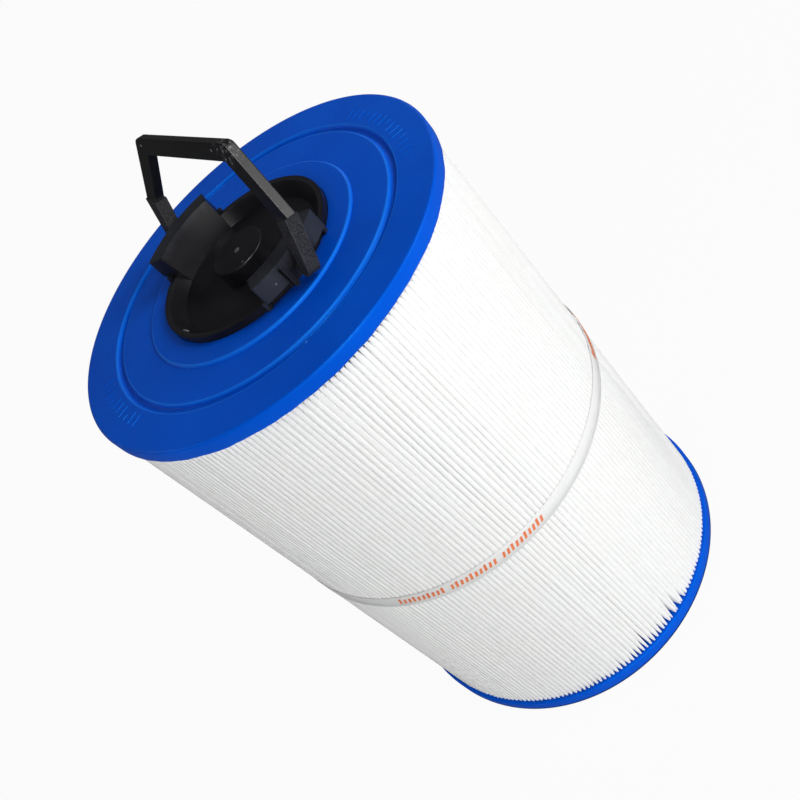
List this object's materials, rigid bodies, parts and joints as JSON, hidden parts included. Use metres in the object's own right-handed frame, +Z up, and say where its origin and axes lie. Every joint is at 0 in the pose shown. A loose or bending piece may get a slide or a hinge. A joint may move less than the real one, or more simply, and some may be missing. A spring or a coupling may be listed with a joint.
{
  "type": "filter cartridge",
  "caption": "Cylindrical pleated filter cartridge with cast end caps, a retaining strap, a dished handle base and a fold-down bail handle.",
  "frame": {"origin": "centre of the bottom end cap's flat lower face, on the cartridge axis", "axes": "+Z up the cartridge axis towards the handle, X along the handle's pivot axis; the handle leans towards +Y at rest"},
  "size_m": [0.2159, 0.2158, 0.3823],
  "materials": {
    "cap_casting": "semi-gloss cast polyurethane",
    "media": "matt spun-bonded polyester",
    "clip_plastic": "matt",
    "core_plastic": "satin",
    "strap_film": "thin translucent film",
    "handle_plastic": "satin"
  },
  "bodies": {
    "cartridge": {"top_end_cap": "cap_casting", "bottom_end_cap": "cap_casting", "pleated_media": "media", "media_seam_clip": "clip_plastic", "core_tube": "core_plastic", "retaining_band": "strap_film", "handle_base": "handle_plastic"},
    "handle": {"handle": "handle_plastic"}
  },
  "joints": [
    {"name": "handle_hinge", "type": "hinge", "parent": "cartridge", "child": "handle", "pos_m": [0, 0, 0.325], "axis": [1, 0, 0], "range_deg": [-73.4, 111.2]}
  ]
}
